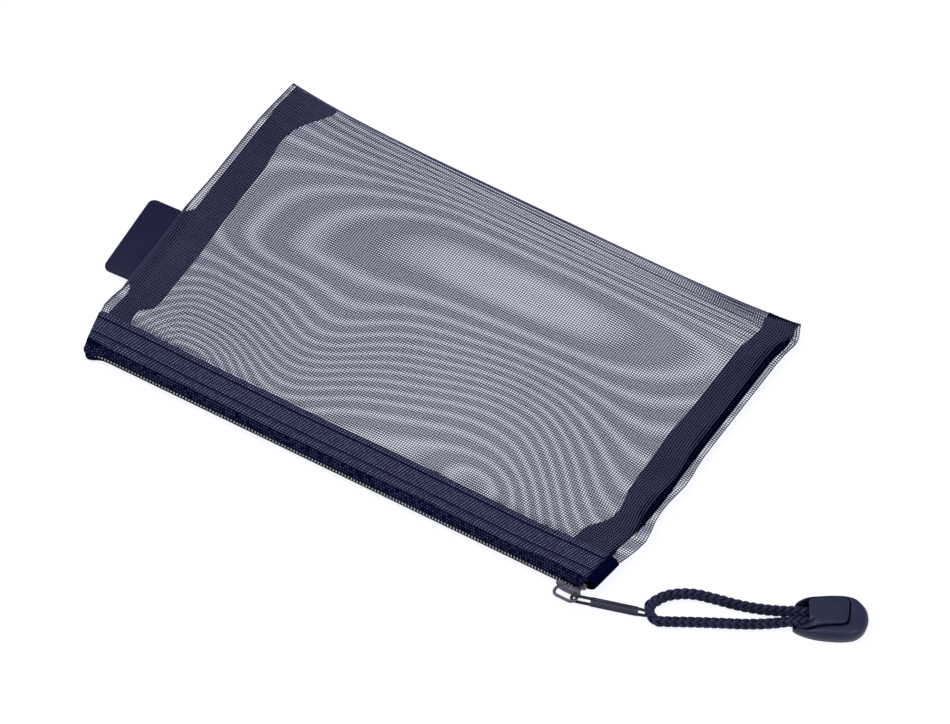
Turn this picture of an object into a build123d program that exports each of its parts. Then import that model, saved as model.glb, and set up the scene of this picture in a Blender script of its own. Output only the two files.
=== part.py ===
"""Mesh document wallet with a zip along its front edge and a corded zip pull.

The wallet lies on its back: X runs along the zip, Y runs from the zip to the far fold, Z is up.
The origin is the middle of the underside. Units are millimetres.
"""
import math
import os

from build123d import *

os.makedirs("parts", exist_ok=True)

# Overall size
BODY_LENGTH = 180.0
BODY_DEPTH = 120.0
FRONT_HEIGHT = 6.0

# Cloth thicknesses
MESH_T = 0.4
BAND_T = 0.35
TAPE_T = 0.5
BINDING_T = 0.3
THREAD_D = 0.45
THREAD_H = 0.15

# Mesh panels: the crown of the upper one, the seams at the sides and the round fold at the far edge
CROWN_TOP = 9.6
ARCH_TOP = 10.6
SEAM_GAP = 0.33
SEAM_BEND_R = 0.25
SIDE_RISE_X = 84.0
SIDE_BEND_R = 4.0
FOLD_OPEN_ANGLE = 15.0
HEM_WIDTH = 5.0
HEM_HALF_LENGTH = 80.0
PANEL_GAP = 0.2

# Bands that join the mesh to the zip
BAND_FRONT_Y = -56.5
BAND_WIDTH = 11.0
BAND_END_DROP = 2.9
STITCH_PITCH = 2.7
STITCH_LENGTH = 2.1
BAND_STITCH_COUNT = 62
BAND_STITCH_INSETS = (2.5, 8.2)

# Side bindings: a tape folded round the seam allowance
BINDING_WIDTH = 9.8
BINDING_INSET = 2.0
BINDING_LENGTH = 100.0
BINDING_STITCH_COUNT = 36
BINDING_STITCH_X = 85.5
BINDING_UNDER_SHORT = 1.2
BINDING_FOLD_GAP = 1.0
ALLOWANCE_CLEAR = 0.05

# Label tab in the left seam
TAB_LENGTH = 31.0
TAB_REACH = 10.0
TAB_T = 1.3
TAB_Y = -16.5
TAB_CORNER_R = 2.6
TAB_HELD = 1.7
TAB_NOTCH_CLEAR = 1.0
TAB_EDGE_R = 0.3

# Zip chain, a fine nylon coil
COIL_PITCH = 1.05
COIL_WIRE = 0.46
COIL_DEPTH = 1.85
COIL_HEAD = 0.25
COIL_HEIGHT = 1.95
COIL_END_X = 85.6
COIL_TEETH = 165
COIL_SPINE = 0.4
CORE_D = 0.7
CORE_HOLE_D = 0.8
TAPE_EDGE = 0.95
TAPE_BEND_R = 0.75
TAPE_HALF_LENGTH = 86.0
TAPE_END_X = 89.0
TAPE_END_OVERLAP = 2.0
TAPE_END_DROP = 1.0
COIL_RIGHT_X = 87.6

# Slider, closed at the right end
SLIDER_X = 83.0
SLIDER_LENGTH = 8.6
PLATE_T = 0.9
BACK_PLATE_T = 0.75
BACK_PLATE_WIDTH = 3.4
SHOULDER_BEFORE = 1.8
SHOULDER_AFTER = 0.6
CHANNEL_NARROW = 1.85
CHANNEL_WIDE = 2.55
FLANGE_T = 0.4
SPLAY = 0.75
SPLAY_START_X = 81.5
SPLAY_END_X = 84.0
POST_TIP_X = 83.0
POST_WIDE_X = 84.6
POST_END_X = 86.5
POST_HALF = 0.38
RUN_CLEAR = 0.2
SLIDER_CORNER_R = 0.6
SLIDER_EDGE_R = 0.3
LUG_SIZE = (1.3, 2.4)
LUG_CORNER_R = 0.4
LUG_H = 0.35
BAIL_WIRE = 1.0
BAIL_REACH = 2.95
BAIL_HALF = 3.6
BAIL_BEND_R = 1.6

# Pull link, a wire racetrack standing on edge, with a crimped sleeve
PIVOT = (85.2, -63.5)
LINK_ANGLE = 18.7
LINK_DROP = 1.05
LINK_WIRE = 1.0
LINK_LENGTH = 26.4
LINK_PITCH = 2.76
LINK_BEND_R = 1.35
EYE_DISTANCE = 24.0
SLEEVE_START = 5.8
SLEEVE_LENGTH = 14.4
SLEEVE_WALL = 0.15
SLEEVE_CLEAR = 0.02

# Cord and cord end
CORD_D = 3.3
NECK_D = 1.5
LINK_CLEAR = 0.75
CORD_FLOOR_Z = 1.75
CORD_LOW_Z = 2.1
CORD_HELD_Z = 2.7
CORD_HELD = 8.0
STRAND_GAP = 0.2
EYE_RUN = 2.7
EYE_CROSSING = 40.0
END_MOUTH = (144.5, -34.8)
END_ANGLE = 27.0
END_LENGTH = 22.5
END_MOUTH_WIDTH = 10.0
END_WIDTH = 14.6
END_TRAY_H = 4.6
END_FLOOR = 0.9
END_FLOOR_EDGE_R = 1.2
END_TOP_EDGE_R = 0.8
CAVITY_DEPTH = 9.0
CAVITY_WIDTH = 7.6
LID_START = 3.6
LID_LENGTH = 12.6
LID_WIDTH = 8.4
LID_H = 2.2
LID_CORNER_R = 1.2
LID_EDGE_R = 0.6

# Places worked out from the sizes above
HALF_LENGTH = BODY_LENGTH / 2
CHAIN_Y = -BODY_DEPTH / 2
MID_Z = FRONT_HEIGHT / 2
MESH_TOP = FRONT_HEIGHT - THREAD_H - BAND_T
FOLD_R = MESH_TOP / 2
FOLD_AXIS_Y = BODY_DEPTH / 2 - FOLD_R
BAND_BACK_Y = BAND_FRONT_Y + BAND_WIDTH
HEM_FRONT_Y = BAND_BACK_Y - HEM_WIDTH
COIL_FRONT_Y = CHAIN_Y - COIL_DEPTH / 2
COIL_BACK_Y = CHAIN_Y + COIL_DEPTH / 2
TAPE_FACE_Y = COIL_BACK_Y
PLATE_BACK_Y = COIL_FRONT_Y - RUN_CLEAR
PLATE_FRONT_Y = PLATE_BACK_Y - PLATE_T
BACK_PLATE_FRONT_Y = TAPE_FACE_Y + TAPE_T + RUN_CLEAR
BACK_PLATE_BACK_Y = BACK_PLATE_FRONT_Y + BACK_PLATE_T
SEAM_Z = MID_Z - SEAM_GAP - MESH_T / 2
BINDING_OUTER_X = HALF_LENGTH - BINDING_INSET
BINDING_INNER_X = BINDING_OUTER_X - BINDING_WIDTH
BINDING_BACK_Y = FOLD_AXIS_Y - BINDING_FOLD_GAP
BINDING_MID_Y = BINDING_BACK_Y - BINDING_LENGTH / 2
BINDING_LEG = MESH_T / 2 + BINDING_T / 2 + ALLOWANCE_CLEAR
BINDING_TOP_Z = SEAM_Z + BINDING_LEG + BINDING_T / 2


def strip(points, width, radius):
    """Section of a bent strip: a line with rounded corners, given a width."""
    with BuildSketch() as section:
        with BuildLine():
            FilletPolyline(*points, radius=radius)
        trace(line_width=width)
    return section.sketch


def mirrored(points):
    """The points of a right half, after those of the left half."""
    left = [(-x, z) for x, z in reversed(points)]
    return left + points


def cross_section(y_back):
    """Plane across the wallet, facing the zip, so that depth grows towards the zip."""
    return Plane.XZ.offset(-y_back)


def flipped(points):
    """Points of a section mirrored from the upper to the lower half of the zip."""
    return [(a, FRONT_HEIGHT - b) for a, b in points]


def export(node, name):
    """Label a finished piece and write it."""
    node.part.label = name
    export_step(node.part, f"parts/{name}.step")
    print(f"{name}: {len(node.part.solids())} solid(s), {node.part.volume:.1f} mm3")


# Upper mesh panel: crowned from band to fold and from seam to seam, open in front of the label tab
upper_z = MESH_TOP - MESH_T / 2
seam_low_z = MID_Z + SEAM_GAP / 2
seam_high_z = seam_low_z + MESH_T
crown_mid_y = (BAND_BACK_Y + FOLD_AXIS_Y) / 2
tab_notch = (2 * (TAB_HELD + TAB_NOTCH_CLEAR), TAB_LENGTH + TAB_NOTCH_CLEAR, FRONT_HEIGHT)


def side_arch(drop, closing_z):
    """Face between the arch from seam to seam, lowered by drop, and a level line."""
    with BuildSketch() as arch:
        with BuildLine():
            ThreePointArc(
                (-HALF_LENGTH, seam_high_z - drop),
                (0, ARCH_TOP - drop),
                (HALF_LENGTH, seam_high_z - drop),
            )
            Polyline(
                (HALF_LENGTH, seam_high_z - drop),
                (HALF_LENGTH, closing_z),
                (-HALF_LENGTH, closing_z),
                (-HALF_LENGTH, seam_high_z - drop),
            )
        make_face()
    return arch.sketch


def pillow(drop, base_z):
    """Solid under the crown, lowered by drop: one arch from band to fold, cut by one from seam to seam."""
    with BuildPart() as body:
        with BuildSketch(Plane.YZ):
            with BuildLine():
                ThreePointArc(
                    (BAND_BACK_Y, MESH_TOP - drop),
                    (crown_mid_y, CROWN_TOP - drop),
                    (FOLD_AXIS_Y, MESH_TOP - drop),
                )
                Polyline(
                    (FOLD_AXIS_Y, MESH_TOP - drop),
                    (FOLD_AXIS_Y, base_z),
                    (BAND_BACK_Y, base_z),
                    (BAND_BACK_Y, MESH_TOP - drop),
                )
            make_face()
        extrude(amount=HALF_LENGTH, both=True)
        with BuildSketch(cross_section(BODY_DEPTH)):
            add(side_arch(drop, base_z))
        extrude(amount=2 * BODY_DEPTH, mode=Mode.INTERSECT)
    return body.part


outer_pillow = pillow(0, seam_low_z)
inner_pillow = pillow(MESH_T, seam_low_z - MESH_T)

with BuildPart() as mesh_upper_panel:
    add(outer_pillow)
    add(inner_pillow, mode=Mode.SUBTRACT)
    with Locations((0, HEM_FRONT_Y + HEM_WIDTH / 2, upper_z)):
        Box(2 * HEM_HALF_LENGTH, HEM_WIDTH, MESH_T)
    with Locations((-HALF_LENGTH, TAB_Y, MID_Z)):
        Box(*tab_notch, mode=Mode.SUBTRACT)
export(mesh_upper_panel, "mesh_upper_panel")

# Lower mesh panel: it carries the far fold, and its sides turn in as the seam allowance
lower_half = [
    (SIDE_RISE_X, MESH_T / 2),
    (HALF_LENGTH - MESH_T / 2, SEAM_Z),
    (BINDING_INNER_X + 2 * BINDING_T, SEAM_Z),
]
lower_radii = [SEAM_BEND_R, SIDE_BEND_R, SIDE_BEND_R, SEAM_BEND_R]
lower_hem_z = THREAD_H + BAND_T + MESH_T / 2
fold_top = 90 - FOLD_OPEN_ANGLE

with BuildPart() as mesh_lower_panel:
    with BuildSketch(cross_section(FOLD_AXIS_Y)):
        add(strip(mirrored(lower_half), MESH_T, lower_radii))
    extrude(amount=FOLD_AXIS_Y - BAND_BACK_Y - PANEL_GAP)
    with Locations((0, HEM_FRONT_Y + HEM_WIDTH / 2 + MESH_T, lower_hem_z)):
        Box(2 * HEM_HALF_LENGTH, HEM_WIDTH + MESH_T, MESH_T)
    with Locations((0, BAND_BACK_Y + PANEL_GAP + MESH_T / 2, lower_hem_z / 2)):
        Box(2 * HEM_HALF_LENGTH, MESH_T, lower_hem_z)
    with BuildSketch(Plane.YZ):
        with BuildLine():
            CenterArc((FOLD_AXIS_Y, FOLD_R), FOLD_R - MESH_T / 2, -90, fold_top + 90)
        trace(line_width=MESH_T)
    extrude(amount=HALF_LENGTH - MESH_T / 2, both=True)
    with BuildSketch(cross_section(BODY_DEPTH)):
        add(side_arch(0, 2 * ARCH_TOP))
    extrude(amount=BODY_DEPTH - FOLD_AXIS_Y, mode=Mode.SUBTRACT)
export(mesh_lower_panel, "mesh_lower_panel")

# Side bindings, folded round the seam allowance, and the thread that holds them
binding_section = [
    (BINDING_OUTER_X - BINDING_UNDER_SHORT, SEAM_Z - BINDING_LEG),
    (BINDING_INNER_X + BINDING_T / 2, SEAM_Z - BINDING_LEG),
    (BINDING_INNER_X + BINDING_T / 2, SEAM_Z + BINDING_LEG),
    (BINDING_OUTER_X, SEAM_Z + BINDING_LEG),
]
binding_bend_r = BINDING_LEG - BINDING_T / 8

for side, sign in (("right", 1), ("left", -1)):
    with BuildPart() as side_binding:
        with BuildSketch(cross_section(BINDING_BACK_Y)):
            add(strip([(sign * x, z) for x, z in binding_section], BINDING_T, binding_bend_r))
        extrude(amount=BINDING_LENGTH)
    export(side_binding, f"side_binding_{side}")

    with BuildPart() as side_stitching:
        with BuildSketch(Plane.XY.offset(BINDING_TOP_Z)):
            with Locations((sign * BINDING_STITCH_X, BINDING_MID_Y)):
                with GridLocations(0, STITCH_PITCH, 1, BINDING_STITCH_COUNT):
                    SlotOverall(STITCH_LENGTH, THREAD_D, rotation=90)
        extrude(amount=THREAD_H)
    export(side_stitching, f"side_stitching_{side}")

# Label tab: soft, with round outer corners, held in the left seam
tab_outer_x = -HALF_LENGTH - TAB_REACH
tab_mid_x = (tab_outer_x - HALF_LENGTH + TAB_HELD) / 2

with BuildPart() as label_tab:
    with BuildSketch(Plane.XY.offset(SEAM_Z + MESH_T / 2)):
        with Locations((tab_mid_x, TAB_Y)):
            Rectangle(TAB_REACH + TAB_HELD, TAB_LENGTH)
        fillet(vertices().group_by(Axis.X)[0], radius=TAB_CORNER_R)
    extrude(amount=TAB_T)
    fillet(faces().sort_by(Axis.Z)[-1].edges(), radius=TAB_EDGE_R)
export(label_tab, "label_tab")

# Zip halves: band, stitching, tape, coil and core cord, above and below the chain
band_section = [(HALF_LENGTH - BAND_END_DROP, FRONT_HEIGHT - THREAD_H - BAND_T / 2)]
band_section += [(HALF_LENGTH - BAND_T, MID_Z + SEAM_GAP / 2)]
tape_z = MESH_TOP - TAPE_T / 2
tape_mid_y = TAPE_FACE_Y + TAPE_T / 2
tape_section = [(HEM_FRONT_Y, tape_z), (tape_mid_y, tape_z), (tape_mid_y, MID_Z + TAPE_EDGE)]
tape_end_section = [(TAPE_HALF_LENGTH - TAPE_END_OVERLAP, tape_z), (TAPE_END_X - TAPE_END_DROP, tape_z)]
tape_end_section += [(TAPE_END_X - TAPE_T / 2, MID_Z + SEAM_GAP / 2)]
tooth_mid = COIL_HEIGHT / 2 - COIL_HEAD
spine_z = MID_Z + COIL_HEIGHT - COIL_HEAD - COIL_SPINE / 2
core_z = MID_Z + tooth_mid


def splayed(z):
    """Line along a coil half, lifted away from the chain where the slider parts it."""
    return [(-COIL_END_X, z), (SPLAY_START_X, z), (SPLAY_END_X, z + SPLAY), (COIL_RIGHT_X, z + SPLAY)]


def splay_at(x):
    """Lift of a tooth at x."""
    share = min(max((x - SPLAY_START_X) / (SPLAY_END_X - SPLAY_START_X), 0.0), 1.0)
    return SPLAY * share


for half, mirror_z, pitch_offset in (("upper", False, 0.0), ("lower", True, 0.5)):
    side_of = flipped if mirror_z else list
    outer_z = 0.0 if mirror_z else FRONT_HEIGHT - THREAD_H

    with BuildPart() as zip_band:
        with BuildSketch(cross_section(BAND_BACK_Y)):
            add(strip(side_of(mirrored(band_section)), BAND_T, BAND_END_DROP / 2))
        extrude(amount=BAND_WIDTH)
    export(zip_band, f"zip_band_{half}")

    with BuildPart() as band_stitching:
        with BuildSketch(Plane.XY.offset(outer_z)):
            with Locations(*[(0, BAND_BACK_Y - inset) for inset in BAND_STITCH_INSETS]):
                with GridLocations(STITCH_PITCH, 0, BAND_STITCH_COUNT, 1):
                    SlotOverall(STITCH_LENGTH, THREAD_D)
        extrude(amount=THREAD_H)
    export(band_stitching, f"band_stitching_{half}")

    with BuildPart() as zip_tape:
        with BuildSketch(Plane.YZ):
            add(strip(side_of(tape_section), TAPE_T, TAPE_BEND_R))
        extrude(amount=TAPE_HALF_LENGTH, both=True)
        with BuildSketch(cross_section(BAND_FRONT_Y - RUN_CLEAR)):
            add(strip(side_of(tape_end_section), TAPE_T, TAPE_BEND_R))
            mirror(about=Plane.YZ)
        extrude(amount=BAND_FRONT_Y - RUN_CLEAR - tape_mid_y - TAPE_BEND_R)
    export(zip_tape, f"zip_tape_{half}")

    teeth_x = [-COIL_END_X + COIL_PITCH * (k + pitch_offset) for k in range(COIL_TEETH)]
    teeth = side_of([(x, MID_Z + tooth_mid + splay_at(x)) for x in teeth_x])
    with BuildLine(cross_section(CHAIN_Y)) as core_line:
        FilletPolyline(*side_of(splayed(core_z)), radius=SPLAY)

    with BuildPart() as zip_coil:
        with BuildSketch(cross_section(COIL_BACK_Y)):
            with Locations(*teeth):
                SlotOverall(COIL_HEIGHT, COIL_WIRE, rotation=90)
        extrude(amount=COIL_DEPTH)
        with BuildSketch(cross_section(COIL_BACK_Y)):
            add(strip(side_of(splayed(spine_z)), COIL_SPINE, SPLAY))
        extrude(amount=COIL_SPINE)
        with BuildSketch(Plane(core_line.line @ 0, z_dir=core_line.line % 0)):
            Circle(CORE_HOLE_D / 2)
        sweep(path=core_line.line, mode=Mode.SUBTRACT)
    export(zip_coil, f"zip_coil_{half}")

    with BuildPart() as zip_core:
        with BuildSketch(Plane(core_line.line @ 0, z_dir=core_line.line % 0)):
            Circle(CORE_D / 2)
        sweep(path=core_line.line)
    export(zip_core, f"zip_core_{half}")

# Slider: front plate with flanges round the coil, wedge post, back plate inside the wallet
left_x = SLIDER_X - SLIDER_LENGTH / 2
right_x = SLIDER_X + SLIDER_LENGTH / 2
shoulder_x = SLIDER_X - SHOULDER_BEFORE
wide_x = SLIDER_X + SHOULDER_AFTER
channel = [
    (left_x - PLATE_T, CHANNEL_NARROW),
    (shoulder_x, CHANNEL_NARROW),
    (wide_x, CHANNEL_WIDE),
    (right_x + PLATE_T, CHANNEL_WIDE),
]
outline = [
    (left_x, CHANNEL_NARROW + FLANGE_T),
    (shoulder_x, CHANNEL_NARROW + FLANGE_T),
    (wide_x, CHANNEL_WIDE + FLANGE_T),
    (right_x, CHANNEL_WIDE + FLANGE_T),
]
post = [
    (POST_TIP_X, 0),
    (POST_WIDE_X, POST_HALF),
    (POST_END_X, POST_HALF),
]


def about_chain(points):
    """Closed outline from its upper half, mirrored about the middle of the chain."""
    upper = [(x, MID_Z + z) for x, z in points]
    lower = [(x, MID_Z - z) for x, z in reversed(points) if z]
    return upper + lower


with BuildPart() as slider_body:
    with BuildSketch(cross_section(PLATE_BACK_Y)) as plate:
        Polygon(*about_chain(outline), align=None)
        fillet(vertices(), radius=SLIDER_CORNER_R)
    extrude(amount=PLATE_T)
    fillet(faces().sort_by(Axis.Y)[0].edges(), radius=SLIDER_EDGE_R)
    with BuildSketch(cross_section(TAPE_FACE_Y - RUN_CLEAR)):
        add(plate.sketch_local)
        Polygon(*about_chain(channel), align=None, mode=Mode.SUBTRACT)
    extrude(until=Until.NEXT)
    with BuildSketch(cross_section(BACK_PLATE_BACK_Y)):
        with Locations((SLIDER_X, MID_Z)):
            RectangleRounded(SLIDER_LENGTH, BACK_PLATE_WIDTH, SLIDER_CORNER_R)
    extrude(amount=BACK_PLATE_T)
    with BuildSketch(cross_section(BACK_PLATE_FRONT_Y)):
        Polygon(*about_chain(post), align=None)
    extrude(amount=BACK_PLATE_FRONT_Y - PLATE_BACK_Y)
    with BuildSketch(cross_section(PLATE_FRONT_Y)):
        with Locations((SLIDER_X - BAIL_HALF, MID_Z), (SLIDER_X + BAIL_HALF, MID_Z)):
            RectangleRounded(*LUG_SIZE, LUG_CORNER_R)
    extrude(amount=LUG_H)
export(slider_body, "slider_body")

# Bail: a wire arch on the lugs of the front plate
lug_y = PLATE_FRONT_Y - LUG_H
bail_y = PLATE_FRONT_Y - BAIL_REACH

with BuildPart() as slider_bail:
    with BuildLine(Plane.XY.offset(MID_Z)) as bail_line:
        FilletPolyline(
            (SLIDER_X - BAIL_HALF, lug_y),
            (SLIDER_X - BAIL_HALF, bail_y),
            (SLIDER_X + BAIL_HALF, bail_y),
            (SLIDER_X + BAIL_HALF, lug_y),
            radius=BAIL_BEND_R,
        )
    with BuildSketch(Plane(bail_line.line @ 0, z_dir=bail_line.line % 0)):
        Circle(BAIL_WIRE / 2)
    sweep(path=bail_line.line)
export(slider_bail, "slider_bail")

# Pull link on edge through the bail, tilted down to the cord, with its crimped sleeve
link_tilt = math.degrees(math.asin(LINK_DROP / EYE_DISTANCE))
link_frame = Plane((PIVOT[0], PIVOT[1], MID_Z)).rotated((0, link_tilt, LINK_ANGLE))
link_side = Plane(link_frame.origin, x_dir=link_frame.x_dir, z_dir=-link_frame.y_dir)

with BuildPart() as pull_link:
    with BuildLine(link_side) as link_line:
        FilletPolyline(
            (0, LINK_PITCH / 2),
            (0, -LINK_PITCH / 2),
            (LINK_LENGTH, -LINK_PITCH / 2),
            (LINK_LENGTH, LINK_PITCH / 2),
            radius=LINK_BEND_R,
            close=True,
        )
    with BuildSketch(Plane(link_line.line @ 0, z_dir=link_line.line % 0)):
        Circle(LINK_WIRE / 2)
    sweep(path=link_line.line)
export(pull_link, "pull_link")

sleeve_origin = link_frame.origin + link_frame.x_dir * SLEEVE_START
sleeve_w = LINK_WIRE + 2 * SLEEVE_WALL

with BuildPart() as link_sleeve:
    with BuildSketch(Plane(sleeve_origin, x_dir=link_frame.z_dir, z_dir=link_frame.x_dir)):
        SlotCenterToCenter(LINK_PITCH, sleeve_w)
        with Locations((LINK_PITCH / 2, 0), (-LINK_PITCH / 2, 0)):
            Circle(LINK_WIRE / 2 + SLEEVE_CLEAR, mode=Mode.SUBTRACT)
    extrude(amount=SLEEVE_LENGTH)
export(link_sleeve, "link_sleeve")

# Cord: from the cord end along the far strand, through the eye of the link and back
eye = link_frame.origin + link_frame.x_dir * EYE_DISTANCE
end_frame = Plane((END_MOUTH[0], END_MOUTH[1], 0)).rotated((0, 0, END_ANGLE))
strand = CORD_D / 2 + STRAND_GAP / 2
far_hold = end_frame.from_local_coords((CORD_HELD, strand, CORD_HELD_Z))
far_mouth = end_frame.from_local_coords((0, strand, CORD_HELD_Z))
near_mouth = end_frame.from_local_coords((0, -strand, CORD_HELD_Z))
near_hold = end_frame.from_local_coords((CORD_HELD, -strand, CORD_HELD_Z))
crossing = Vector(EYE_RUN, 0).rotate(Axis.Z, -EYE_CROSSING)
cord_route = [
    far_hold,
    far_mouth,
    (135.8, -36.4, CORD_LOW_Z),
    (127.4, -39.8, CORD_FLOOR_Z),
    (118.6, -41.9, CORD_FLOOR_Z),
    (111.6, -44.6, CORD_FLOOR_Z),
    (107.2, -48.8, CORD_FLOOR_Z),
    eye - crossing,
    eye + crossing,
    (117.0, -53.8, CORD_FLOOR_Z),
    (126.6, -48.8, CORD_FLOOR_Z),
    (136.2, -43.6, CORD_LOW_Z),
    near_mouth,
    near_hold,
]


def corner_radii(route):
    """Largest arc at each corner of a route that leaves a tenth of the shorter run straight."""
    points = [Vector(point) for point in route]
    radii = []
    for before, corner, after in zip(points, points[1:], points[2:]):
        turn = (corner - before).get_angle(after - corner)
        shorter = min((corner - before).length, (after - corner).length)
        radii.append(0.45 * shorter / math.tan(math.radians(turn / 2)))
    return radii


cord_radii = corner_radii(cord_route)
print("cord radii:", ", ".join(f"{radius:.1f}" for radius in cord_radii))
link_slab = Plane(eye, x_dir=link_frame.x_dir, z_dir=link_frame.y_dir)

with BuildPart() as pull_cord:
    with BuildLine() as cord_line:
        FilletPolyline(*cord_route, radius=cord_radii)
    with BuildSketch(Plane(cord_line.line @ 0, z_dir=cord_line.line % 0)):
        Circle(CORD_D / 2)
    sweep(path=cord_line.line)
    tube_volume = pull_cord.part.volume
    with BuildSketch(link_slab):
        Circle(2 * CORD_D)
    extrude(amount=LINK_CLEAR, both=True, mode=Mode.SUBTRACT)
    with BuildSketch(link_slab):
        Circle(NECK_D / 2)
    extrude(amount=LINK_CLEAR + CORD_D / 4, both=True)
cord_length = cord_line.wires()[0].length
expected = cord_length * math.pi * CORD_D**2 / 4
print(f"cord length {cord_length:.1f} mm, tube {tube_volume:.1f} mm3 of {expected:.1f} mm3")
export(pull_cord, "pull_cord")

# Cord end: a rounded tray that takes both strands, closed by a raised lid
tip_x = END_LENGTH - END_WIDTH / 2

with BuildPart() as cord_end_tray:
    with BuildSketch(end_frame):
        with BuildLine():
            Line((0, -END_MOUTH_WIDTH / 2), (0, END_MOUTH_WIDTH / 2))
            TangentArc((tip_x, END_WIDTH / 2), (0, END_MOUTH_WIDTH / 2), tangent=(-1, 0))
            TangentArc((tip_x, -END_WIDTH / 2), (0, -END_MOUTH_WIDTH / 2), tangent=(-1, 0))
            CenterArc((tip_x, 0), END_WIDTH / 2, -90, 180)
        make_face()
    extrude(amount=END_TRAY_H)
    fillet(edges().group_by(Axis.Z)[0], radius=END_FLOOR_EDGE_R)
    fillet(edges().group_by(Axis.Z)[-1], radius=END_TOP_EDGE_R)
    with BuildSketch(end_frame.offset(END_FLOOR)):
        Rectangle(2 * CAVITY_DEPTH, CAVITY_WIDTH)
    extrude(amount=END_TRAY_H, mode=Mode.SUBTRACT)
export(cord_end_tray, "cord_end_tray")

with BuildPart() as cord_end_lid:
    with BuildSketch(end_frame.offset(END_TRAY_H)):
        with Locations((LID_START + LID_LENGTH / 2, 0)):
            RectangleRounded(LID_LENGTH, LID_WIDTH, LID_CORNER_R)
    extrude(amount=LID_H)
    fillet(edges().group_by(Axis.Z)[-1], radius=LID_EDGE_R)
export(cord_end_lid, "cord_end_lid")
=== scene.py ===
# %% [markdown]
# # A mesh document wallet
# The wallet is a folded sheet of fine see-through net, closed along its front by a nylon coil zip.
# A short wire link and a loop of braided cord hang from the slider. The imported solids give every
# piece its place and its joints. This lesson gives each piece the look of the real thing: threads
# for the net, woven tapes, a wound coil, a plaited cord and moulded plastic.

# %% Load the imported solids
import math

import bmesh
import bpy
import numpy as np
from mathutils import Matrix, Vector


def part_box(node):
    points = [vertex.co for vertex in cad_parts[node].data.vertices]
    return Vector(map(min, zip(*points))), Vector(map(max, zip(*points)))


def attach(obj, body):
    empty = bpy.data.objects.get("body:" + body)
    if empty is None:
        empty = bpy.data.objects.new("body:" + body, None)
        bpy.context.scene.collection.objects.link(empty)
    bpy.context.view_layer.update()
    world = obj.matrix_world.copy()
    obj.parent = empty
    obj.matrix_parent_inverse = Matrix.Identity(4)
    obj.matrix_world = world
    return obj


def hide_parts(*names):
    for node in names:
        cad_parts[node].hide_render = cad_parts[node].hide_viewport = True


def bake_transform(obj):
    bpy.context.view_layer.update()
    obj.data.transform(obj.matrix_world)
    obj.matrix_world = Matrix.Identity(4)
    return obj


MM = 0.001
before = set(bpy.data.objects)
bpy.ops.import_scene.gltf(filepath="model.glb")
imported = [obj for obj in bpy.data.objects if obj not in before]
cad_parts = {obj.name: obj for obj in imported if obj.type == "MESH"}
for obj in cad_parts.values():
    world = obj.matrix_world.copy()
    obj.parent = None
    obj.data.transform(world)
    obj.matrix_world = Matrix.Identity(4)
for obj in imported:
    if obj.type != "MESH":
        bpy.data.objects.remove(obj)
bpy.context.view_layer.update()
scene = bpy.context.scene

# %% [markdown]
# ## Camera
# The photograph was taken with a long lens, so its parallel edges stay parallel. A camera far away
# with a long focal length repeats that. The three axes of the view are worked out from its azimuth
# and elevation, and the camera stands back from the middle of the picture along the third.

# %% Camera at the photograph's angle
AZIMUTH = math.radians(31.68)
ELEVATION = math.radians(51.32)
IMAGE_WIDTH = 950
MM_PER_PIXEL = 0.2976
LENS = 1200.0
SENSOR = 36.0
VIEW_POINT = Vector((-0.99, 2.18, 0.0))
VIEW_RIGHT = 10.35
VIEW_DOWN = 7.45


def add_object(name, data):
    """New object in the scene."""
    made = bpy.data.objects.new(name, data)
    scene.collection.objects.link(made)
    return made


view_x = Vector((math.cos(AZIMUTH), math.sin(AZIMUTH), 0))
view_flat = Vector((math.sin(AZIMUTH), -math.cos(AZIMUTH), 0))
view_z = math.cos(ELEVATION) * view_flat + Vector((0, 0, math.sin(ELEVATION)))
view_y = view_z.cross(view_x)
view_distance = MM_PER_PIXEL * IMAGE_WIDTH * LENS / SENSOR
view_centre = VIEW_POINT + VIEW_RIGHT * view_x - VIEW_DOWN * view_y

camera_data = bpy.data.cameras.new("camera")
camera_data.lens = LENS
camera_data.sensor_width = SENSOR
camera_data.clip_end = 100.0
camera = add_object("camera", camera_data)
camera.matrix_world = Matrix((view_x, view_y, view_z)).transposed().to_4x4()
camera.location = (view_centre + view_distance * view_z) * MM
scene.camera = camera
print(f"camera {view_distance * MM:.2f} m from the wallet")

# %% [markdown]
# ## Light and floor
# The wallet lies on a plain white sweep under soft light. A pale world fills every side, and two
# large lamps give the net, the wire and the coil their highlights. The floor glows a cool white for
# the camera and for reflections, and still takes a little of the wallet's shadow.

# %% Studio light
WORLD_COLOUR = (0.95, 0.97, 1.0, 1.0)
WORLD_STRENGTH = 0.42

scene.view_settings.view_transform = "Standard"
world = bpy.data.worlds.new("studio")
world.use_nodes = True
background = world.node_tree.nodes["Background"]
background.inputs["Color"].default_value = WORLD_COLOUR
background.inputs["Strength"].default_value = WORLD_STRENGTH
scene.world = world


def lamp(name, place, size, power):
    """Square lamp that faces the wallet."""
    data = bpy.data.lights.new(name, "AREA")
    data.size = size
    data.energy = power
    lamp_object = add_object(name, data)
    lamp_object.location = place
    lamp_object.rotation_euler = (-Vector(place)).to_track_quat("-Z", "Y").to_euler()


lamp("window", (-0.45, -0.3, 1.2), 0.7, 8.5)
lamp("side_fill", (0.9, -0.2, 0.8), 0.5, 4.0)
print("two lamps and a pale world")

# %% Nodes and links in a few words


def add_node(tree, kind, inputs=(), **settings):
    """Add a node, set its properties, and fill inputs given as {socket: number or output socket}."""
    node = tree.nodes.new(kind)
    for name, value in settings.items():
        setattr(node, name, value)
    for socket, value in dict(inputs).items():
        if isinstance(value, bpy.types.NodeSocket):
            tree.links.new(value, node.inputs[socket])
        else:
            node.inputs[socket].default_value = value
    return node


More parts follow.
